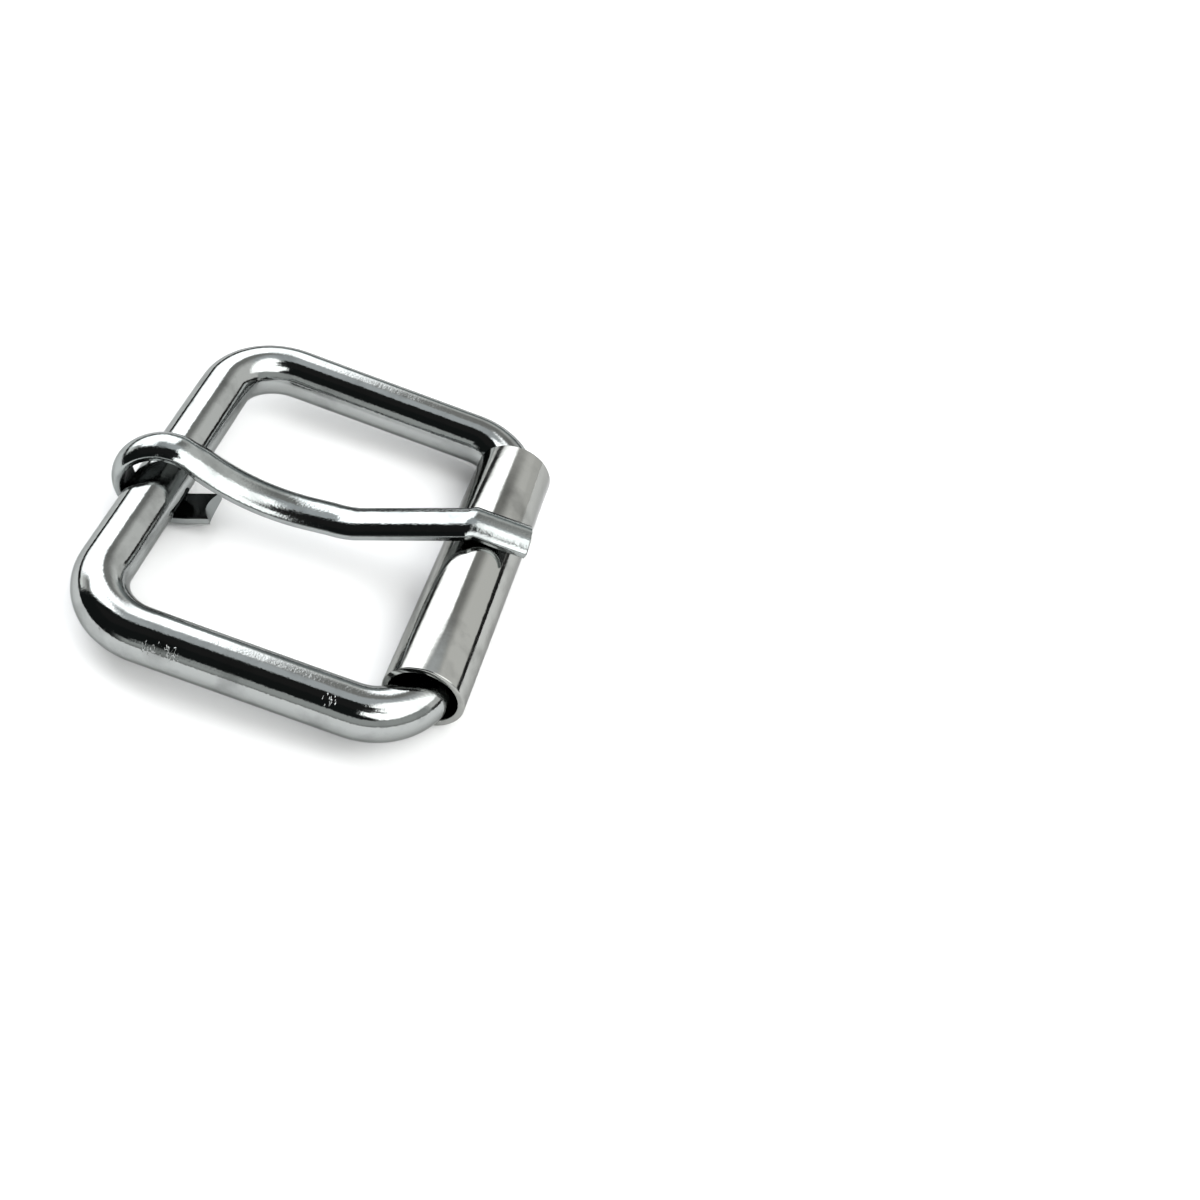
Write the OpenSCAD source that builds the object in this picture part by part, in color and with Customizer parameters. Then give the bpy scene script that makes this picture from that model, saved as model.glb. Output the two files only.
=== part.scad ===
// Roller buckle for a flat strap: a bent wire frame, a rolled sheet roller on
// one bar of it, and a prong that is hooked round the other bar.
// Millimetres, modelled as the buckle lies on a table with its prong closed:
// +X from the hinge bar to the roller, +Y along the bars, +Z up, table at z = 0.

/* [Frame] */
// Inside width of the frame, the strap width that it takes
inner_w = 25; // [14:0.5:60]
// Distance between the axes of the hinge bar and the roller bar
bar_spacing = 23.3; // [18:0.1:50]
// Diameter of the frame wire
wire_d = 3.8; // [2.5:0.1:6]
// Centre line radius of the two bends beside the hinge bar
hinge_bend_r = 4.5; // [3.2:0.1:8]
// Centre line radius of the two bends beside the roller bar
roller_bend_r = 4.3; // [3.2:0.1:8]

/* [Roller] */
// Wall of the rolled sheet
roller_wall = 0.5; // [0.3:0.05:1]
// Room between the inside width of the frame and the two ends of the roller
roller_end_room = 1.5; // [0.6:0.1:4]
// Width of the open seam where the two edges of the sheet meet
seam_w = 0.25; // [0.1:0.05:0.6]
// Direction in which the seam faces, from +X towards +Z
seam_angle = -80; // [-180:1:180]

/* [Prong] */
// Width of the prong across its flat side
prong_w = 3; // [2:0.1:5]
// Thickness of the prong from the flat side to the top of its dome
prong_t = 1.3; // [1:0.05:1.6]
// Width in the hook, where the wire is bent tightest
hook_w = 2.7; // [1.8:0.1:5]
// Thickness in the hook
hook_t = 0.96; // [0.8:0.02:1.6]
// Round of the two edges of the flat side
prong_edge_r = 0.25; // [0.1:0.01:0.35]
// Turn of the prong about the vertical, away from square to the bar
prong_skew = 7.2; // [0:0.1:9]
// Sideways place of the hook along the bar
prong_shift = -0.85; // [-2:0.05:2]
// Radius of the open bend below the bar, near the free end of the hook
lip_bend_r = 7; // [4:0.5:12]
// Angle of that bend
lip_bend = 18; // [5:1:25]
// Level run below the bar, between the hook's bend and the open bend
lip_run = 0.3; // [0.1:0.1:1]
// Straight length at the free end of the hook
lip_l = 1.35; // [0.4:0.05:2.5]
// Radius of the hollow cut across the free end of the hook
lip_hollow_r = 2.2; // [1.8:0.1:4]
// Widest sideways lead of the hook, as it is wound slightly open
hook_lead = 0.75; // [0:0.05:1]
// Depth of that hollow
lip_hollow = 0.55; // [0.1:0.05:0.8]
// Level run on top of the hook
top_run = 0.6; // [0.2:0.1:2]
// Radius of the bend where the hook runs down to the belly
drop_bend_r = 1.8; // [1:0.1:4]
// Slope of the run down from the hook
drop_angle = 33; // [25:1:40]
// Widest radius of the long hollow bend into the belly
sweep_bend_r = 14.8; // [5:0.1:20]
// Height of the hinge bar's axis above the flat side at the belly
belly_drop = 0.28; // [0:0.02:0.6]
// Widest radius of the bend out of the belly
rise_bend_r = 6; // [3:0.1:10]
// Slope of the run up to the crest
rise_angle = 18.9; // [14:0.1:26]
// Flat side radius of the bend at the crest
crest_bend_r = 1.2; // [0.6:0.1:3]
// Distance of the crest in front of the roller's axis
crest_ahead = 1.2; // [0.6:0.1:2.5]
// Slope down of the tip, which lies on the roller
tip_angle = 9; // [5:0.5:14]
// Length of the tip from the crest to its sheared end
tip_l = 4.15; // [3:0.05:6]

/* [Fit] */
// Radial play of the roller on its bar
roller_play = 0.52; // [0.45:0.01:0.8]
// Height of the roller's axis above the axis of the bar that lies in it
roller_sag = 0.37; // [0.2:0.01:0.38]
// Distance of the roller's axis from the bar's axis, towards the hinge bar
roller_back = 0.18; // [0.1:0.01:0.2]
// Radial play of the hook round its bar
hook_play = 0.62; // [0.5:0.01:1]
// Gap between the hook and the bar that lies in it
hook_gap = 0.13; // [0.1:0.01:0.2]
// Gap between the tip and the roller that it rests on
tip_gap = 0.07; // [0.05:0.01:0.2]

/* [Hidden] */
$fn = 96;
more = 1;

// Fineness of the prong: degrees in one part of a bend, parts of its section
bend_part = 5;
edge_parts = 4;
dome_parts = 14;

// Degrees of the hook's bend over which it runs down to its slim thickness
thin_run = 30;

wire_r = wire_d / 2;
frame_w = inner_w + wire_d;

roller_bore_r = wire_r + roller_play;
roller_r = roller_bore_r + roller_wall;
roller_l = inner_w - roller_end_room;

// Heights when both the hook and the roller lie on the table
hook_r = wire_r + hook_play;
hook_z = prong_t + hook_r;
hinge_bar_z = prong_t + hook_gap + wire_r;
roller_z = roller_r;
roller_bar_z = roller_z - roller_sag;
frame_tilt = asin((hinge_bar_z - roller_bar_z) / bar_spacing);
roller_x = bar_spacing * cos(frame_tilt) - roller_back;

// Side view of the prong's flat side, from the hinge bar's axis
top_z = hook_z + hook_r;
belly_z = hinge_bar_z - belly_drop;
crest_u = (roller_x - prong_shift * sin(prong_skew)) / cos(prong_skew) - crest_ahead;
crest_z = roller_z + (roller_r + tip_gap + crest_ahead * sin(tip_angle)) / cos(tip_angle);
knee_u = top_run + drop_bend_r * tan(drop_angle / 2);
dip_u = knee_u + (top_z - belly_z) / tan(drop_angle);
foot_u = crest_u - (crest_z - belly_z) / tan(rise_angle);
tip_u = crest_u + tip_l * cos(tip_angle);

// Tangent lengths of the bends, the two at the belly kept within its run
knee_cut = drop_bend_r * tan(drop_angle / 2);
drop_len = (top_z - belly_z) / sin(drop_angle);
belly_len = foot_u - dip_u;
sweep_cut = min(sweep_bend_r * tan(drop_angle / 2), 0.75 * belly_len, 0.85 * (drop_len - knee_cut));
rise_cut = min(rise_bend_r * tan(rise_angle / 2), 0.2 * belly_len);
rise_len = (crest_z - belly_z) / sin(rise_angle);
crest_turn = rise_angle + tip_angle;
crest_cut = crest_bend_r * tan(crest_turn / 2);

// Steps of the prong from the free end of its hook to its tip:
// [length, 0] is straight, [radius of the flat side, turn] is a bend
prong_steps = [
    [lip_l, 0],
    [lip_bend_r, -lip_bend],
    [lip_run, 0],
    [hook_r, -180],
    [top_run, 0],
    [drop_bend_r, -drop_angle],
    [drop_len - knee_cut - sweep_cut, 0],
    [sweep_cut / tan(drop_angle / 2), drop_angle],
    [belly_len - sweep_cut - rise_cut, 0],
    [rise_cut / tan(rise_angle / 2), rise_angle],
    [rise_len - rise_cut - crest_cut, 0],
    [crest_bend_r, -crest_turn],
    [tip_l - crest_cut, 0]
];
prong_start = [
    lip_run + lip_bend_r * sin(lip_bend) + lip_l * cos(lip_bend),
    prong_t + lip_bend_r * (1 - cos(lip_bend)) + lip_l * sin(lip_bend),
    180 + lip_bend
];

// Place and heading after one step
function after(at, step) =
    step[1] == 0
        ? [at[0] + step[0] * cos(at[2]), at[1] + step[0] * sin(at[2]), at[2]]
        : let (side = step[1] > 0 ? 1 : -1, to = at[2] + step[1])
            [
                at[0] + side * step[0] * (sin(to) - sin(at[2])),
                at[1] - side * step[0] * (cos(to) - cos(at[2])),
                to
            ];
function place(i) = i == 0 ? prong_start : after(place(i - 1), prong_steps[i - 1]);

// Parts that a step is divided into, and its place and heading at one of them
function parts(step) = step[1] == 0 ? 1 : ceil(abs(step[1]) / bend_part);
function within(i, k) =
    let (step = prong_steps[i])
        k == 0 ? place(i) : after(place(i), [step[0], step[1] * k / parts(step)]);

// Share of the hook's slimmer thickness and width at a place in a step: the
// thickness runs down over the first part of the hook's bend, the width is
// slim from the free end on, and both end after the bend down to the belly
hook_step = 3;
knee_step = 6;
function thin_share(i, heading) =
    i < hook_step || i > knee_step ? 0 : min(1, (180 - heading) / thin_run);
function slim_share(i) = i > knee_step ? 0 : 1;

// Sideways lead where the hook has turned to this heading
function lead(heading) = -hook_lead * sin(0.8 * max(heading, 0));

// Stations of the prong: place, heading, width and thickness
function station(i, at) = [
    at[0],
    at[1],
    at[2],
    prong_w + slim_share(i) * (hook_w - prong_w),
    prong_t + thin_share(i, at[2]) * (hook_t - prong_t)
];
prong_path = [
    for (i = [0:len(prong_steps) - 1])
        for (k = [0:parts(prong_steps[i]) - 1])
            station(i, within(i, k)),
    station(len(prong_steps), place(len(prong_steps)))
];

// Section of this width and thickness, flat side down: two rounded edges and
// the dome, a circle that touches both and passes through the top
function section(w, t) =
    let (
        r = prong_edge_r,
        v = w / 2 - r,
        c = t - 2 * r,
        dome = (v * v + c * c) / (2 * c) + r,
        from = atan2(r - t + dome, v)
    )
    [
        for (i = [0:edge_parts])
            let (a = -90 + (90 + from) * i / edge_parts)
                [v + r * cos(a), r + r * sin(a)],
        for (i = [1:dome_parts - 1])
            let (a = from + (180 - 2 * from) * i / dome_parts)
                [dome * cos(a), t - dome + dome * sin(a)],
        for (i = [0:edge_parts])
            let (a = 180 - from + (90 + from) * i / edge_parts)
                [-v + r * cos(a), r + r * sin(a)]
    ];
section_len = 2 * edge_parts + dome_parts + 1;
prong_points = [
    for (at = prong_path)
        for (p = section(at[3], at[4]))
            [at[0] - p[1] * sin(at[2]), p[0] + lead(at[2]), at[1] + p[1] * cos(at[2])]
];

// Ends of the whole buckle along X, from the hinge bar's axis
prong_x = [for (p = prong_points) p[0] * cos(prong_skew) - p[1] * sin(prong_skew)];
far_x = max(max(prong_x), roller_x + roller_r);
near_x = min(min(prong_x), -wire_r);
hinge_x = -(far_x + near_x) / 2;

module wire(length) {
    rotate([-90, 0, 0])
        cylinder(r = wire_r, h = length);
}

module bend(radius, from) {
    rotate([0, 0, from])
        rotate_extrude(angle = 90)
            translate([radius, 0])
                circle(r = wire_r);
}

// Half of the frame: half of both bars, one side arm and its two bends
module frame_half() {
    arm_y = frame_w / 2;
    wire(arm_y - hinge_bend_r);
    translate([hinge_bend_r, arm_y - hinge_bend_r, 0])
        bend(hinge_bend_r, 90);
    translate([hinge_bend_r, arm_y, 0])
        rotate([0, 0, -90])
            wire(bar_spacing - hinge_bend_r - roller_bend_r);
    translate([bar_spacing - roller_bend_r, arm_y - roller_bend_r, 0])
        bend(roller_bend_r, 0);
    translate([bar_spacing, 0, 0])
        wire(arm_y - roller_bend_r);
}

module frame() {
    color("#5c5d62")
        translate([hinge_x, 0, hinge_bar_z])
            rotate([0, frame_tilt, 0]) {
                frame_half();
                mirror([0, 1, 0])
                    frame_half();
            }
}

// Sheet rolled into a tube, its two edges meeting in an open seam
module roller() {
    color("#66676c")
        translate([hinge_x + roller_x, roller_l / 2, roller_z])
            rotate([90, 0, 0])
                difference() {
                    cylinder(r = roller_r, h = roller_l);
                    translate([0, 0, -more])
                        cylinder(r = roller_bore_r, h = roller_l + 2 * more);
                    rotate([0, 0, seam_angle])
                        translate([roller_bore_r / 2, -seam_w / 2, -more])
                            cube([roller_r, seam_w, roller_l + 2 * more]);
                }
}

// The section carried along the steps, from the free end of the hook to the tip
module prong_sweep() {
    m = section_len;
    n = len(prong_path);
    sides = [
        for (i = [0:n - 2])
            for (k = [0:m - 1])
                let (l = (k + 1) % m)
                    [i * m + k, (i + 1) * m + k, (i + 1) * m + l, i * m + l]
    ];
    first = [for (k = [0:m - 1]) k];
    last = [for (k = [m - 1:-1:0]) (n - 1) * m + k];
    polyhedron(points = prong_points, faces = concat(sides, [first, last]), convexity = 6);
}

// Cutter for the hollow across the free end of the hook
module lip_cutter() {
    translate([prong_start[0], lead(prong_start[2]), prong_start[1]])
        rotate([0, -lip_bend, 0])
            translate([lip_hollow_r - lip_hollow, 0, -1.5 * prong_t])
                cylinder(r = lip_hollow_r, h = 1.7 * prong_t);
}

module prong() {
    color("#56575c")
        translate([hinge_x, prong_shift, 0])
            rotate([0, 0, prong_skew])
                difference() {
                    prong_sweep();
                    lip_cutter();
                }
}

frame();
roller();
prong();
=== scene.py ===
# %% [markdown]
# # A roller buckle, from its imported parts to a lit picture
# The buckle has three pieces: a frame bent from round wire, a roller rolled
# from thin sheet, and a prong bent from half-round wire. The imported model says
# where each one is and how it moves, but its surfaces are flat facets, and in
# polished metal every facet shows as a kink in the reflections. So this lesson
# remakes the three surfaces fine enough for a mirror, in the very places of
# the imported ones, and then builds the room that the metal reflects.

import math

import bmesh
import bpy
from mathutils import Matrix, Vector


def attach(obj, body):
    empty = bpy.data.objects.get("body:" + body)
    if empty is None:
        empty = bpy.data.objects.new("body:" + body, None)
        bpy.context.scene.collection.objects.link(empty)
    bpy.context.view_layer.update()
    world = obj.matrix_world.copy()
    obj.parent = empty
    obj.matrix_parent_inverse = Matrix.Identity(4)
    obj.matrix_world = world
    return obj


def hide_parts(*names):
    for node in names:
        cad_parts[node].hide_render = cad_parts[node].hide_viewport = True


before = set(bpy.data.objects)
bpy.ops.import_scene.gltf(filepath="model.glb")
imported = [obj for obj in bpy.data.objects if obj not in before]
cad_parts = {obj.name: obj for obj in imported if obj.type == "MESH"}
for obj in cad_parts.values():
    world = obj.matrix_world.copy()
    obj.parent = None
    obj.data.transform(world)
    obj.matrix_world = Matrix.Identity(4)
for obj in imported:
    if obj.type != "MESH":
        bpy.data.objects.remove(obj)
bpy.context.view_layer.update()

# %% [markdown]
# The sizes are those of the solids. They are kept in millimetres, because that
# is how a buckle maker gives them, and MM turns them into Blender's metres at
# the very end of each piece. Numbers that belong together could also be read
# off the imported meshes, but written out they can be checked with a caliper.

# %% Sizes of the buckle
MM = 0.001
wire_r = 1.9
inner_w = 25.0
bar_spacing = 23.3  # hinge bar to roller bar, middle to middle
hinge_bend_r = 4.5
roller_bend_r = 4.3
hinge_x = -11.493
hinge_bar_z = 3.33
roller_bar_z = 2.55
frame_tilt = math.asin((hinge_bar_z - roller_bar_z) / bar_spacing)
roller_r = 2.92
roller_wall = 0.5
roller_l = 23.5
roller_ahead = 23.1069  # the roller's own axis, ahead of the hinge bar
roller_x = hinge_x + roller_ahead
seam_w = 0.25
seam_angle = math.radians(-80)  # the seam faces down, 0 being straight ahead
print("frame tilt", round(math.degrees(frame_tilt), 2), "degrees")

# %% [markdown]
# The camera stands where the photograph was taken from: in front, a little to
# the right, and looking down at about 47 degrees. A camera can be aimed with
# three rotation angles or with a Track To constraint. Here its right, up and
# back directions are written down as the columns of its matrix, because they
# came out of measuring the picture, and this also keeps the picture's tilt.
# The focal length was measured in pixels of a picture 1200 pixels wide.

# %% Camera
focal_px, picture_px, sensor_w = 1423.64, 1200, 36
turn_back = Matrix.Rotation(math.radians(-1.7865), 3, "Z")
right = turn_back @ Vector((0.93963793, 0.25089997, 0.23265807))
up = turn_back @ Vector((-0.34217038, 0.68899922, 0.63890493))
back = right.cross(up)
spot = Vector((18.78, -69.59, 80.10)) * MM
camera_data = bpy.data.cameras.new("camera")
camera_data.sensor_width = sensor_w
camera_data.lens = focal_px / picture_px * sensor_w
camera_data.clip_start = 0.005
camera = bpy.data.objects.new("camera", camera_data)
axes = Matrix((right, up, back)).transposed().to_4x4()
camera.matrix_world = Matrix.Translation(spot) @ axes
bpy.context.scene.collection.objects.link(camera)
bpy.context.scene.camera = camera
bpy.context.scene.view_settings.view_transform = "Standard"
looks_down = math.degrees(math.asin(back.z))
print("lens", round(camera_data.lens, 1), "mm, looking down", round(looks_down, 1), "degrees")

# %% [markdown]
# Polished metal has no look of its own: it shows the room. Each face of the
# buckle can be read backwards, as a mirror, for what stands in that direction.
# A photographed room would be the usual way, as an image wrapped round the
# scene. Here the world is mixed from a few soft-edged areas instead, so every
# reflection can be moved by changing one number. An area is told by the
# direction that is looked in: x to the right, y away from the camera, z up.

# %% Helpers for the room
world = bpy.data.worlds.new("room")
bpy.context.scene.world = world
world.use_nodes = True
room = world.node_tree
room.nodes.clear()
looking = room.nodes.new("ShaderNodeTexCoord")
split = room.nodes.new("ShaderNodeSeparateXYZ")
room.links.new(looking.outputs["Generated"], split.inputs[0])


def share(axis, start, end):
    """0 before start and 1 past end, along one axis of the direction."""
    step = room.nodes.new("ShaderNodeMapRange")
    step.interpolation_type = "SMOOTHSTEP"
    step.inputs["From Min"].default_value = start
    step.inputs["From Max"].default_value = end
    room.links.new(split.outputs[axis], step.inputs["Value"])
    return step.outputs[0]


def times(shares):
    """The product of the shares: where all of them hold."""
    whole = shares[0]
    for part in shares[1:]:
        product = room.nodes.new("ShaderNodeMath")
        product.operation = "MULTIPLY"
        room.links.new(whole, product.inputs[0])
        room.links.new(part, product.inputs[1])
        whole = product.outputs[0]
    return whole


def furnish(seen, areas):
    """Lays each area's colour over what is seen so far, between its edges."""
    for colour, *edges in areas:
        coat = room.nodes.new("ShaderNodeMix")
        coat.data_type = "RGBA"
        coat.inputs["B"].default_value = (*colour, 1)
        room.links.new(times([share(*edge) for edge in edges]), coat.inputs["Factor"])
        room.links.new(seen, coat.inputs["A"])
        seen = coat.outputs["Result"]
    return seen


print("the room starts with", len(room.nodes), "nodes")

# %% [markdown]
# The pale wall comes first and the rest is laid over it. High up and to the
# left it lies in shade, which makes the grey stripe along the roller's top.
# The ceiling is a lighter grey. Low down the wall gets a bright strip, and
# under that a dark line closes the room at the table's edge: it is the thin
# black line along the roller. Behind to the right a pale patch covers that
# line, because the picture has no line where this direction is reflected.

# %% Walls, ceiling and table's edge
wall = room.nodes.new("ShaderNodeRGB")
wall.outputs[0].default_value = (0.88, 0.88, 0.86, 1)
seen = furnish(
    wall.outputs[0],
    [
        ((0.32, 0.32, 0.31), ("X", 0.42, 0.05), ("Z", 0.35, 0.6)),
        ((0.65, 0.68, 0.70), ("Z", 0.84, 0.92)),
        ((1.25, 1.27, 1.25), ("Z", 0.36, 0.27), ("X", 0.4, 0.2)),
        ((0.02, 0.02, 0.02), ("Z", 0.20, 0.16)),
        ((0.80, 0.80, 0.78), ("Z", 0.30, 0.26), ("X", 0.25, 0.36), ("Y", 0.70, 0.78)),
    ],
)
print("wall, ceiling and table's edge take", len(room.nodes), "nodes")

# %% [markdown]
# The black bands on the arms, the hook and the prong all come from one dark
# space over the near side of the table. Grey light comes in under it, dimmer
# towards the table. To the left the dark space reaches further and further
# down, which takes the black band round the bend of the frame.

# %% Dark space over the near side
near = ("Y", 0.05, -0.06)
darkness = (0.012, 0.014, 0.014)
seen = furnish(
    seen,
    [
        ((0.50, 0.52, 0.51), near),
        ((0.36, 0.37, 0.36), near, ("Z", 0.2, 0.05)),
        (darkness, near, ("Z", 0.43, 0.5)),
        (darkness, near, ("X", -0.15, -0.3), ("Z", 0.24, 0.34)),
        (darkness, near, ("X", -0.3, -0.6)),
    ],
)
print("with the dark space", len(room.nodes), "nodes")

# %% [markdown]
# A wide window stands behind to the left and gives the white stripes. Its
# upper part reaches further towards the near side, for the white on the hook.
# Low in the middle of the far wall is a darker piece. A row of lamps hangs to
# the right, with two dark gaps in it: the wide one is the black wedge that
# grows along the prong, the narrow one the fine line on its tip.

# %% Window and lamps
daylight = (3.0, 3.05, 3.1)
lamp_row = [("X", 0.08, 0.2), ("Y", 0.36, 0.2), ("Y", -0.75, -0.65), ("Z", 0.45, 0.55)]
wide_gap = [("Y", -0.52, -0.47), ("Y", -0.08, -0.16), ("X", 0.36, 0.22), ("Z", 0.6, 0.7)]
narrow_gap = [("Y", -0.42, -0.39), ("Y", -0.31, -0.34), ("Z", 0.8, 0.85)]
window = [("X", -0.09, -0.19), ("Y", 0.2, 0.34), ("Z", 0.12, 0.34), ("Z", 0.90, 0.81)]
upper_window = [("X", -0.3, -0.42), ("Y", 0.0, 0.1), ("Z", 0.97, 0.9), ("Z", 0.6, 0.7)]
low_middle = [("Y", 0.7, 0.8), ("X", -0.35, -0.22), ("X", 0.3, 0.1), ("Z", 0.42, 0.2)]
seen = furnish(
    seen,
    [
        (daylight, *window),
        (daylight, *upper_window),
        ((0.3, 0.33, 0.33), *low_middle),
        ((2.6, 2.62, 2.6), *lamp_row),
        ((0.02, 0.02, 0.02), *wide_gap),
        ((0.1, 0.1, 0.1), *lamp_row, *narrow_gap),
    ],
)
room_brightness = 1.35
sky = room.nodes.new("ShaderNodeBackground")
sky.inputs["Strength"].default_value = room_brightness
room.links.new(seen, sky.inputs["Color"])
out = room.nodes.new("ShaderNodeOutputWorld")
room.links.new(sky.outputs[0], out.inputs[0])
print("the whole room takes", len(room.nodes), "nodes")

# %% [markdown]
# The white table needs a little more light than this room gives. A large soft
# lamp overhead adds it. It could be a small strong one, but that would draw
# hard shadows. It is hidden from reflections, as a lamp in a studio is kept
# out of the mirror's view.

# %% Lamp
lamp_spot = Vector((0.05, -0.2, 0.5))
lamp_side, lamp_watts = 0.5, 0.8
lamp_data = bpy.data.lights.new("soft_lamp", "AREA")
lamp_data.shape = "RECTANGLE"
lamp_data.size, lamp_data.size_y = lamp_side, lamp_side
lamp_data.energy = lamp_watts
lamp = bpy.data.objects.new("soft_lamp", lamp_data)
lamp.location = lamp_spot
lamp.rotation_euler = lamp_spot.to_track_quat("Z", "Y").to_euler()
lamp.visible_glossy = False
bpy.context.scene.collection.objects.link(lamp)
print("lamp of", lamp_watts, "W at", tuple(lamp.location))

# %% [markdown]
# The floor is one large pale sheet that the buckle lies on. It is matt, so it
# only gives back light and takes soft shadows. A single face does for that,
# because nothing on it is bent or cut. The helper makes a plain surface: the
# sheared metal of the prong's tip uses it too, and the plate starts from it.

# %% Floor
def surface(name, colour, roughness, metallic=0.0):
    """A material with these values."""
    made = bpy.data.materials.new(name)
    made.use_nodes = True
    shader = made.node_tree.nodes["Principled BSDF"]
    shader.inputs["Base Color"].default_value = (*colour, 1)
    shader.inputs["Roughness"].default_value = roughness
    shader.inputs["Metallic"].default_value = metallic
    return made


floor_half = 3.0
white_table = surface("white_table", (0.93, 0.93, 0.93), 0.8)
bm = bmesh.new()
bmesh.ops.create_grid(bm, x_segments=1, y_segments=1, size=floor_half)
mesh = bpy.data.meshes.new("table")
bm.to_mesh(mesh)
bm.free()
mesh.materials.append(white_table)
table = bpy.data.objects.new("table", mesh)
bpy.context.scene.collection.objects.link(table)
print("table", 2 * floor_half, "m wide")

# %% [markdown]
# A real finish is never even, so a few small helpers make unevenness. Noise
# is read from Object coordinates, which stay with the piece when it moves, and
# its cell is given in millimetres. Bump tilts the reflection without moving
# the surface, which shakes the edges of the reflections. That is enough for
# hollows of a hundredth of a millimetre, which would take a very fine mesh.

# %% Helpers for the finishes
def noise(tree, where, size, detail=2.0, tall=1.0):
    """Noise with cells of the given size in mm, drawn out across the wire if tall."""
    across = 1 / (size * tall * MM)
    cells = tree.nodes.new("ShaderNodeVectorMath")
    cells.operation = "MULTIPLY"
    cells.inputs[1].default_value = (1 / (size * MM), across, across)
    made = tree.nodes.new("ShaderNodeTexNoise")
    made.inputs["Scale"].default_value = 1.0
    made.inputs["Detail"].default_value = detail
    tree.links.new(where.outputs["Object"], cells.inputs[0])
    tree.links.new(cells.outputs[0], made.inputs["Vector"])
    return made.outputs["Fac"]


def spread(tree, source, low, high, new_low=0.0, new_high=1.0):
    """Maps the part of a value from low to high onto a new range."""
    made = tree.nodes.new("ShaderNodeMapRange")
    made.inputs["From Min"].default_value = low
    made.inputs["From Max"].default_value = high
    made.inputs["To Min"].default_value = new_low
    made.inputs["To Max"].default_value = new_high
    tree.links.new(source, made.inputs["Value"])
    return made.outputs[0]


def bump(tree, height, depth, after=None):
    """Raises the surface by depth in mm where the height is 1."""
    made = tree.nodes.new("ShaderNodeBump")
    made.inputs["Strength"].default_value = 1.0
    made.inputs["Distance"].default_value = depth * MM
    tree.links.new(height, made.inputs["Height"])
    if after is not None:
        tree.links.new(after, made.inputs["Normal"])
    return made.outputs["Normal"]


# %% [markdown]
# The near arm has a few bright scuffs, which look like the marks of the tool
# that bent it. Each mark is a place on the wire: near it, the peaks of a fine
# noise that is drawn out across the wire are raised into short ridges. They
# could be modelled or painted, but bump is enough for what is this shallow.

# %% Marks of the bending tool
fleck_size, fleck_tall = 0.2, 3.0
fleck_peaks = (0.56, 0.64)
full_within = 0.4  # share of a mark's reach in which its flecks have their full depth


def rub(tree, where, normal, place, reach, depth):
    """Raises flecks of the given depth round a place, fading out at its reach, all in mm."""
    away = tree.nodes.new("ShaderNodeVectorMath")
    away.operation = "DISTANCE"
    away.inputs[1].default_value = Vector(place) * MM
    tree.links.new(where.outputs["Object"], away.inputs[0])
    close = spread(tree, away.outputs["Value"], reach * MM, full_within * reach * MM)
    flecks = spread(tree, noise(tree, where, fleck_size, 1.0, fleck_tall), *fleck_peaks)
    flecks_or_tip_shade = tree.nodes.new("ShaderNodeMath")
    flecks_or_tip_shade.operation = "MULTIPLY"
    tree.links.new(close, flecks_or_tip_shade.inputs[0])
    tree.links.new(flecks, flecks_or_tip_shade.inputs[1])
    return bump(tree, flecks_or_tip_shade.outputs[0], depth, normal)


print("flecks", fleck_size, "mm along the wire and", round(fleck_size * fleck_tall, 1), "across it")

# %% [markdown]
# All three pieces look like polished wire and sheet in dark nickel plate. Three
# things keep the plate from looking like a computer's chrome. Smudges make it
# duller and darker in places. Long waves and a fine grain tilt the surface a
# little. And it gives back less at a grazing angle than Blender's metal does,
# which draws each piece with a darker outline: the shader's Specular Tint sets
# that, on its own socket.

# %% Plated metal
smudge_size, wave_size, grain_size = 2.4, 1.3, 0.16
grazing = (0.5, 0.5, 0.5, 1)
smudge_dulls, smudge_darkens = 2.5, 0.7
dull_from, dark_from = (0.45, 0.75), (0.5, 0.72)  # from clean plate to full smudge


def plated(name, grey, roughness, wave, grain, marks=()):
    """Plate with waves and grain of the given heights in mm, and marks at the places."""
    made = surface(name, grey, roughness, 1.0)
    tree = made.node_tree
    shader = tree.nodes["Principled BSDF"]
    shader.inputs["Specular Tint"].default_value = grazing
    where = tree.nodes.new("ShaderNodeTexCoord")
    smudge = noise(tree, where, smudge_size, 5.0)
    dull = spread(tree, smudge, *dull_from, roughness, roughness * smudge_dulls)
    tint = tree.nodes.new("ShaderNodeMix")
    tint.data_type = "RGBA"
    tint.inputs["A"].default_value = (*grey, 1)
    tint.inputs["B"].default_value = (*[c * smudge_darkens for c in grey], 1)
    tree.links.new(spread(tree, smudge, *dark_from), tint.inputs["Factor"])
    normal = bump(tree, noise(tree, where, wave_size), wave)
    normal = bump(tree, noise(tree, where, grain_size, 3.0), grain, normal)
    for mark in marks:
        normal = rub(tree, where, normal, *mark)
    tree.links.new(tint.outputs["Result"], shader.inputs["Base Color"])
    tree.links.new(dull, shader.inputs["Roughness"])
    tree.links.new(normal, shader.inputs["Normal"])
    return made


print("cells of", smudge_size, wave_size, "and", grain_size, "mm")
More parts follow.
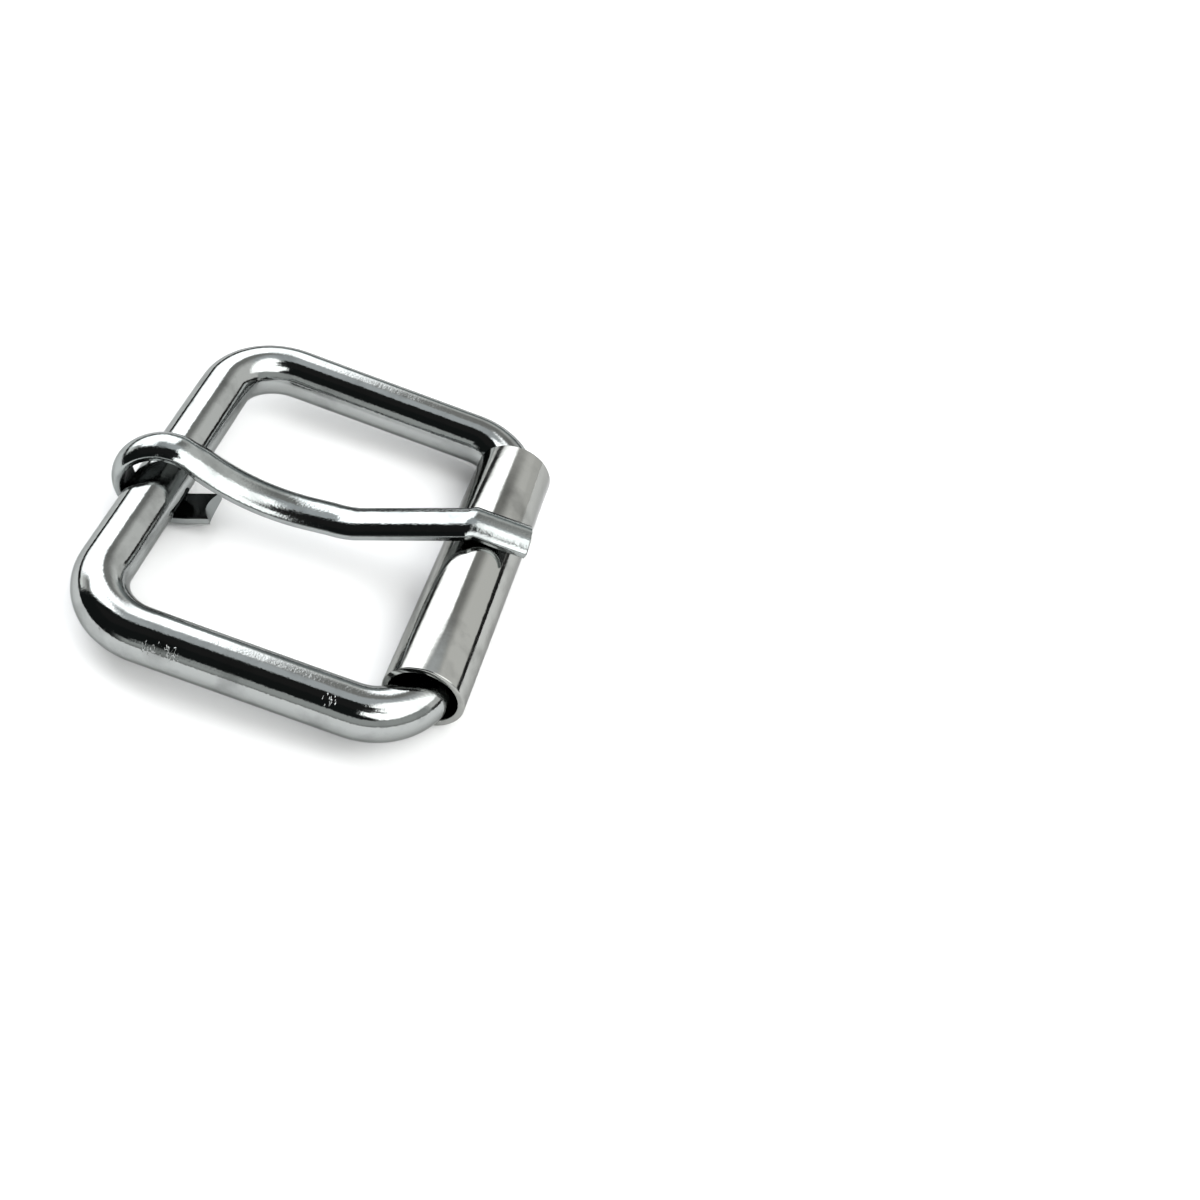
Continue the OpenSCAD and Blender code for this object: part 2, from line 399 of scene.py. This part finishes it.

# %% [markdown]
# The greys and the grain were set by comparing renders with the picture, so
# they differ a little from piece to piece: the prong's grain is the coarsest
# and the roller's the finest. The near-black plate is painted shade inside the
# hook, on its lip and under the tip; sheared metal is for the end of the prong's tip.

# %% Finishes of the three pieces
tool_marks = [  # place, reach and depth in mm
    ((-5.6, -16.0, 4.15), 0.85, 0.05),
    ((-4.4, -15.85, 4.2), 0.8, 0.05),
    ((6.2, -15.4, 4.35), 0.5, 0.05),
    ((-9.2, -15.5, 4.4), 0.6, 0.012),
]
frame_plate = plated("frame_plate", (0.335, 0.347, 0.343), 0.05, 0.012, 0.005, tool_marks)
roller_plate = plated("roller_plate", (0.343, 0.347, 0.334), 0.07, 0.01, 0.002)
prong_plate = plated("prong_plate", (0.316, 0.333, 0.33), 0.06, 0.016, 0.011)
# painted shade: a near-black plate for the faces inside the hook, on its lip and under the tip
painted_shade_plate = plated("painted_shade_plate", (0.045, 0.048, 0.048), 0.12, 0.016, 0.008)
sheared_metal = surface("sheared_metal", (0.13, 0.13, 0.14), 0.45, 1.0)
print("finishes", [m.name for m in bpy.data.materials])

# %% [markdown]
# Bent wire, round or half-round, is one job in mesh work: a ring of edges is
# extruded again and again, each time carried to its next place. A place is a
# matrix, and the move from one ring to the next is the new matrix times the old
# one undone. A curve with a bevel would do for the frame, but not for the
# prong, whose width and thickness change apart from each other.

# %% Carrying a ring along a path
def carry(bm, ring, places):
    """Extrudes the ring's edges through the places, the first of which is where it is."""
    for old, new in zip(places, places[1:]):
        grown = bmesh.ops.extrude_edge_only(bm, edges=ring)["geom"]
        verts = [g for g in grown if isinstance(g, bmesh.types.BMVert)]
        fresh = set(verts)
        ring = [g for g in grown if isinstance(g, bmesh.types.BMEdge) and set(g.verts) <= fresh]
        bmesh.ops.transform(bm, matrix=new @ old.inverted(), verts=verts, space=Matrix())
    return ring


def piece(name, bm, body, node, slot, *finishes):
    """Makes the bmesh an object of the buckle that stands for its solid."""
    bmesh.ops.scale(bm, vec=(MM, MM, MM), verts=bm.verts)
    bmesh.ops.recalc_face_normals(bm, faces=bm.faces)
    mesh = bpy.data.meshes.new(name)
    bm.to_mesh(mesh)
    open_edges = sum(1 for e in bm.edges if not e.is_manifold)
    bm.free()
    for finish in finishes:
        mesh.materials.append(finish)
    made = bpy.data.objects.new(name, mesh)
    bpy.context.scene.collection.objects.link(made)
    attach(made, body)
    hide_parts(node)
    print(name, len(mesh.polygons), "faces,", open_edges, "open edges")


# %% [markdown]
# The frame is a closed loop of wire: two bars, two arms and four bends. The
# loop is written down flat, as the bender sees it, with x from the hinge bar
# and y along it. It starts in the middle of the hinge bar and turns right four
# times. A straight only needs a few places, a bend needs 28 to look round.

# %% Path of the frame
quarter = math.radians(90)
bend_steps = 28


def loop_places():
    """Places round the frame's loop."""
    places = []

    def stop(x, y, heading):
        places.append(Matrix.Translation((x, y, 0)) @ Matrix.Rotation(heading, 4, "Z"))

    def straight(x, y, heading, length, steps):
        for k in range(steps):
            run = length * k / steps
            stop(x + run * math.cos(heading), y + run * math.sin(heading), heading)

    def bend(x, y, r, heading):
        for k in range(bend_steps):
            a = heading - quarter * k / bend_steps
            stop(x - r * math.sin(a), y + r * math.cos(a), a)

    arm_y = inner_w / 2 + wire_r
    hinge_y, roller_y = arm_y - hinge_bend_r, arm_y - roller_bend_r
    far_x = bar_spacing - roller_bend_r
    arm_l = bar_spacing - hinge_bend_r - roller_bend_r
    straight(0, 0, quarter, hinge_y, 6)
    bend(hinge_bend_r, hinge_y, hinge_bend_r, quarter)
    straight(hinge_bend_r, arm_y, 0, arm_l, 8)
    bend(far_x, roller_y, roller_bend_r, 0)
    straight(bar_spacing, roller_y, -quarter, 2 * roller_y, 10)
    bend(far_x, -roller_y, roller_bend_r, -quarter)
    straight(far_x, -arm_y, -2 * quarter, arm_l, 8)
    bend(hinge_bend_r, -hinge_y, hinge_bend_r, -2 * quarter)
    straight(0, -hinge_y, -3 * quarter, hinge_y, 6)
    stop(0, 0, -3 * quarter)
    return places


places = loop_places()
print("frame path has", len(places), "places")

# %% [markdown]
# The wire's ring is a circle of 64 edges, fine enough that no facet shows in
# the picture. It is carried round the loop and welded to itself where it
# arrives, so the skin is closed and has no seam. Then the frame is laid in
# its place, tilted, as it rests on the roller at one end and on the prong's
# hook at the other.

# %% Frame
bm = bmesh.new()
bmesh.ops.create_circle(bm, segments=64, radius=wire_r)
bmesh.ops.rotate(bm, matrix=Matrix.Rotation(quarter, 3, "Y"), verts=bm.verts)
bmesh.ops.transform(bm, matrix=places[0], verts=bm.verts, space=Matrix())
carry(bm, bm.edges[:], places)
bmesh.ops.remove_doubles(bm, verts=bm.verts, dist=1e-4)
for face in bm.faces:
    face.smooth = True
seat = Matrix.Translation((hinge_x, 0, hinge_bar_z)) @ Matrix.Rotation(frame_tilt, 4, "Y")
bmesh.ops.transform(bm, matrix=seat, verts=bm.verts, space=Matrix())
piece("frame_wire", bm, "frame", "frame", "frame_steel", frame_plate)

# %% [markdown]
# The roller is a strip of sheet rolled into a tube until its edges nearly
# meet. A tube cut by a thin box would look the same, but it is simpler to do
# as the press does: a line is spun almost full circle, and the sheet that it
# leaves is given its wall. The faces have to look outwards before that, or the
# wall would grow the wrong way. The sharp rims are rounded a little, as
# tumbling does, and shading breaks only at what is still an edge.

# %% Roller
spin_steps, rim_round = 128, 0.09
rim_angle, crease_angle = math.radians(60), math.radians(40)
bm = bmesh.new()
first = bm.verts.new((roller_r, 0, -roller_l / 2))
last = bm.verts.new((roller_r, 0, roller_l / 2))
line = bm.edges.new((first, last))
gap = seam_w / roller_r
bmesh.ops.spin(
    bm,
    geom=[first, last, line],
    cent=(0, 0, 0),
    axis=(0, 0, 1),
    angle=math.tau - gap,
    steps=spin_steps,
)
bmesh.ops.recalc_face_normals(bm, faces=bm.faces)
outward = Vector((*bm.faces[0].calc_center_median().xy, 0))
if bm.faces[0].normal.dot(outward) < 0:
    bmesh.ops.reverse_faces(bm, faces=bm.faces)
bmesh.ops.solidify(bm, geom=bm.faces[:], thickness=roller_wall)
bmesh.ops.recalc_face_normals(bm, faces=bm.faces)
bmesh.ops.bevel(
    bm,
    geom=[e for e in bm.edges if e.is_manifold and e.calc_face_angle(0) > rim_angle],
    offset=rim_round,
    offset_type="OFFSET",
    segments=3,
    profile=0.5,
    affect="EDGES",
    material=-1,
)
for face in bm.faces:
    face.smooth = True
for edge in bm.edges:
    edge.smooth = edge.calc_face_angle(0) < crease_angle
lay = Matrix.Rotation(quarter, 4, "X") @ Matrix.Rotation(seam_angle + gap / 2, 4, "Z")
seat = Matrix.Translation((roller_x, 0, roller_r)) @ lay
bmesh.ops.transform(bm, matrix=seat, verts=bm.verts, space=Matrix())
top, bottom = max(v.co.z for v in bm.verts), min(v.co.z for v in bm.verts)
print("roller from", round(bottom, 3), "to", round(top, 3), "mm above the table")
piece("roller_sheet", bm, "roller", "roller", "roller_steel", roller_plate)

# %% [markdown]
# The prong is half-round wire: flat underneath, domed on top, and slimmer in
# the hook. Each of its parts is a length, a radius or an angle, as on the
# bending tool. u is the distance ahead of the hinge bar and z the height, and
# both belong to the flat side.

# %% Sizes of the prong
prong_w, prong_t = 3.0, 1.3
hook_w, hook_t = 2.7, 0.96
crown, side, edge_r = 1.1, 0.45, 0.1  # dome, narrow side and rounding as they look
prong_skew = math.radians(7.2)
prong_shift = -0.85
hook_r = 2.52
hook_lead, lead_turn = 0.75, 0.8  # how far the hook leads sideways, as a coil does
lip_bend_r, lip_bend, lip_run, lip_l = 7.0, 18.0, 0.3, 1.35
top_run, drop_bend_r, drop_angle = 0.6, 1.8, 33.0
sweep_r, foot_r, rise_angle = 14.8, 6.0, 18.9
sweep_of_belly, sweep_of_drop, foot_of_belly = 0.75, 0.85, 0.2  # the most they may take
crest_bend_r, crest_before, tip_angle, tip_l = 1.2, 1.2, 9.0, 4.15
tip_gap = 0.07  # between the tip and the roller
belly_sag = 0.28  # the belly's flat side, below the middle of the hinge bar
belly_z = hinge_bar_z - belly_sag
top_z = prong_t + 2 * hook_r
print("flat side at", round(top_z, 2), "over the hook and", round(belly_z, 2), "at the belly")

# %% [markdown]
# The path is worked out from these sizes, from the free end of the hook to the
# tip: seven straights and six bends. The crest comes just before the roller's
# axis, the tip lies on the roller, and the straights between the bends get what
# is left over. Angles are in degrees, so three helpers spare the conversion.

# %% Steps of the prong
def sin(a):
    return math.sin(math.radians(a))


def cos(a):
    return math.cos(math.radians(a))


def tan(a):
    return math.tan(math.radians(a))


skewed_ahead = (roller_ahead - prong_shift * math.sin(prong_skew)) / math.cos(prong_skew)
crest_u = skewed_ahead - crest_before
crest_z = roller_r + (roller_r + tip_gap + crest_before * sin(tip_angle)) / cos(tip_angle)
knee_cut = drop_bend_r * tan(drop_angle / 2)
dip_u = top_run + knee_cut + (top_z - belly_z) / tan(drop_angle)
foot_u = crest_u - (crest_z - belly_z) / tan(rise_angle)
belly_len = foot_u - dip_u
drop_len = (top_z - belly_z) / sin(drop_angle)
sweep_most = min(sweep_of_belly * belly_len, sweep_of_drop * (drop_len - knee_cut))
sweep_cut = min(sweep_r * tan(drop_angle / 2), sweep_most)
rise_cut = min(foot_r * tan(rise_angle / 2), foot_of_belly * belly_len)
rise_len = (crest_z - belly_z) / sin(rise_angle)
crest_turn = rise_angle + tip_angle
crest_cut = crest_bend_r * tan(crest_turn / 2)
# A step is a name, then a length and 0, or a radius and the angle that it turns.
steps = [
    ("lip", lip_l, 0),
    ("lip", lip_bend_r, -lip_bend),
    ("lip", lip_run, 0),
    ("hook", hook_r, -180),
    ("top", top_run, 0),
    ("top", drop_bend_r, -drop_angle),
    ("drop", drop_len - knee_cut - sweep_cut, 0),
    ("sweep", sweep_cut / tan(drop_angle / 2), drop_angle),
    ("belly", belly_len - sweep_cut - rise_cut, 0),
    ("foot", rise_cut / tan(rise_angle / 2), rise_angle),
    ("rise", rise_len - rise_cut - crest_cut, 0),
    ("crest", crest_bend_r, -crest_turn),
    ("tip", tip_l - crest_cut, 0),
]
print("prong", len(steps), "steps, crest at", round(crest_u, 2), round(crest_z, 2))

# %% [markdown]
# Every step is walked in short paces, and each pace is one place of the ring:
# 3 degrees in a bend and 0.6 mm in a straight. The wire gets thinner smoothly
# over the first 40 degrees of the hook, and gets its width and thickness back
# along the drop. The lip is as narrow as the hook, but keeps its thickness.
# The sideways lead is greatest near the middle of the hook and is gone at its
# top.

# %% Path of the prong
thins_over = 40
bend_pace, straight_pace = 3, 0.6


def smooth(x):
    """From 0 to 1 with a soft start and end."""
    x = min(1, max(0, x))
    return x * x * (3 - 2 * x)


def between(start, end, part):
    """The value that lies this part of the way from start to end."""
    return start + part * (end - start)


def ahead(place, size, turn, part):
    """The place that is reached after part of a straight, or of a bend of that radius."""
    u, z, heading = place
    if not turn:
        return u + size * part * cos(heading), z + size * part * sin(heading), heading
    r, new = math.copysign(size, turn), heading + turn * part
    return u + r * (sin(new) - sin(heading)), z - r * (cos(new) - cos(heading)), new


def section_size(step, part):
    """Width and thickness of the prong on that part of a step."""
    if step == "lip":
        return hook_w, prong_t
    if step == "hook":
        return hook_w, between(prong_t, hook_t, smooth(part * 180 / thins_over))
    if step == "top":
        return hook_w, hook_t
    if step == "drop":
        out = smooth(part)
        return between(hook_w, prong_w, out), between(hook_t, crown, out)
    return prong_w, crown


def ring_place(place, width, thickness):
    """The matrix that puts the prong's section there, in that width and thickness."""
    u, z, heading = place
    s, c = sin(heading), cos(heading)
    lead = -hook_lead * sin(lead_turn * max(heading, 0))
    turn = Matrix(((0, -s, c), (1, 0, 0), (0, c, s))).to_4x4()
    slim = Matrix.Diagonal((width / prong_w, thickness / crown, 1, 1))
    return Matrix.Translation((u, lead, z)) @ turn @ slim


lip_u = lip_run + lip_bend_r * sin(lip_bend) + lip_l * cos(lip_bend)
lip_z = prong_t + lip_bend_r * (1 - cos(lip_bend)) + lip_l * sin(lip_bend)
place = (lip_u, lip_z, 180 + lip_bend)
places = []
for step, size, turn in steps:
    paces = max(1, round(abs(turn) / bend_pace)) if turn else max(2, round(size / straight_pace))
    for k in range(paces):
        part = k / paces
        places.append(ring_place(ahead(place, size, turn, part), *section_size(step, part)))
    place = ahead(place, size, turn, 1)
places.append(ring_place(place, prong_w, crown))
print("prong path has", len(places), "places")

# %% [markdown]
# The section is a disc cut by three planes: one for the flat side and two for
# the narrow sides. The black band in the picture runs down to the lower edge
# of the prong, so its dome must be this flat and its edges this crisp. A few
# more cuts leave upright strips on the first face, for the hollow of the end.

# %% Section of the prong
def cut(bm, at, facing, clear=True):
    """Cuts the mesh with a plane, and clears what lies on the side that it faces."""
    whole = bm.verts[:] + bm.edges[:] + bm.faces[:]
    bmesh.ops.bisect_plane(
        bm, geom=whole, plane_co=at, plane_no=facing, clear_outer=clear, dist=1e-5
    )


strips, strip_w = 6, 0.2  # to each side of the middle
half = prong_w / 2
sagitta = crown - side
dome_r = (half**2 + sagitta**2) / (2 * sagitta)
bm = bmesh.new()
bmesh.ops.create_circle(bm, cap_ends=True, segments=160, radius=dome_r)
bmesh.ops.translate(bm, vec=(0, crown - dome_r, 0), verts=bm.verts)
cut(bm, (0, 0, 0), (0, -1, 0))
cut(bm, (half, 0, 0), (1, 0, 0))
cut(bm, (-half, 0, 0), (-1, 0, 0))
bmesh.ops.bevel(
    bm,
    geom=[v for v in bm.verts if abs(v.co.x) > half - 1e-4],
    offset=edge_r,
    offset_type="OFFSET",
    segments=4,
    profile=0.5,
    affect="VERTICES",
    material=-1,
)
for k in range(-strips, strips + 1):
    cut(bm, (k * strip_w, 0, 0), (1, 0, 0), clear=False)
ring = [e for e in bm.edges if e.is_boundary]
print("dome radius", round(dome_r, 3), "ring of", len(ring), "edges")

# %% [markdown]
# Carried along the path, the ring becomes the prong, and the disc stays behind
# as the free end of the hook. That end was cut with a round punch, which
# leaves a hollow between two horns, a little askew, and trims the end by a
# hair. The tip was sheared off: two insets leave a rim round a dark, torn
# middle. Sharp edges of the free end are kept sharp in the shading too, or the
# end would look crumpled.

# %% Prong
punch_r, hollow_deep, hollow_skew, trim = 2.2, 0.55, 0.04, 0.06
rim_w, torn_w, torn_deep = 0.09, 0.05, 0.07
cap = set(bm.verts)
bmesh.ops.transform(bm, matrix=places[0], verts=bm.verts, space=Matrix())
end = carry(bm, ring, places)
along = places[0].to_3x3() @ Vector((0, 0, 1))
for vert in cap:
    v = (places[0].inverted() @ vert.co).x
    hollow = max(0, hollow_deep - (punch_r - math.sqrt(punch_r**2 - v * v)))
    bmesh.ops.translate(bm, vec=along * (hollow + trim - hollow_skew * v), verts=[vert])
tip = bmesh.ops.edgeloop_fill(bm, edges=end)["faces"]
for face in bm.faces:
    face.smooth = True
for face in tip:
    face.smooth = False
for edge in {e for v in cap for e in v.link_edges if e.other_vert(v) in cap}:
    edge.smooth = edge.calc_face_angle(0) < crease_angle
bm.normal_update()
bmesh.ops.inset_region(bm, faces=tip, thickness=rim_w, use_even_offset=False)
bmesh.ops.inset_region(bm, faces=tip, thickness=torn_w, depth=-torn_deep, use_even_offset=False)
print("free end", len(cap), "points, tip", len(tip), "face, prong", len(bm.faces), "faces")

# %% [markdown]
# The picture is black inside the hook, on its lip and under the tip, so those
# faces get painted shade: the near-black plate stands in for shade and a
# painted dark reflection there. They are found by where they are, which is
# safer than counting faces. Last, the prong is turned a little askew and
# moved off the middle of the bar, as it lies in the picture.

# %% Finishes of the prong
bare, shaded = 1, 2  # slots of the finishes, 0 being the plate
hook_skin, tip_skin, tip_shade_before = 0.03, 0.02, 1.6
lip_bottom, lip_top, lip_end, lip_level = 1.2, 2.4, 4.5, 0.6
tip[0].material_index = bare
# painted shade: faces inside the hook, on the lip and under the tip take the near-black plate
for face in bm.faces:
    u, z = face.calc_center_median().xz
    in_hook = math.hypot(u, z - prong_t - hook_r) < hook_r + hook_skin
    at_lip = lip_bottom < z < lip_top and 0 < u < lip_end
    on_lip = at_lip and abs(face.normal.z) > lip_level
    fall = max((u - crest_u) * tan(tip_angle), (crest_u - u) * tan(rise_angle))
    # painted shade under the tip, where it lies on the roller
    flecks_or_tip_shade = u > crest_u - tip_shade_before and z < crest_z - fall + tip_skin
    if in_hook or on_lip or flecks_or_tip_shade:
        face.material_index = shaded
print("faces in thin plate:", sum(1 for f in bm.faces if f.material_index == shaded))
seat = Matrix.Translation((hinge_x, prong_shift, 0)) @ Matrix.Rotation(prong_skew, 4, "Z")
bmesh.ops.transform(bm, matrix=seat, verts=bm.verts, space=Matrix())
prong_finishes = (prong_plate, sheared_metal, painted_shade_plate)
piece("prong_wire", bm, "prong", "prong", "prong_steel", *prong_finishes)
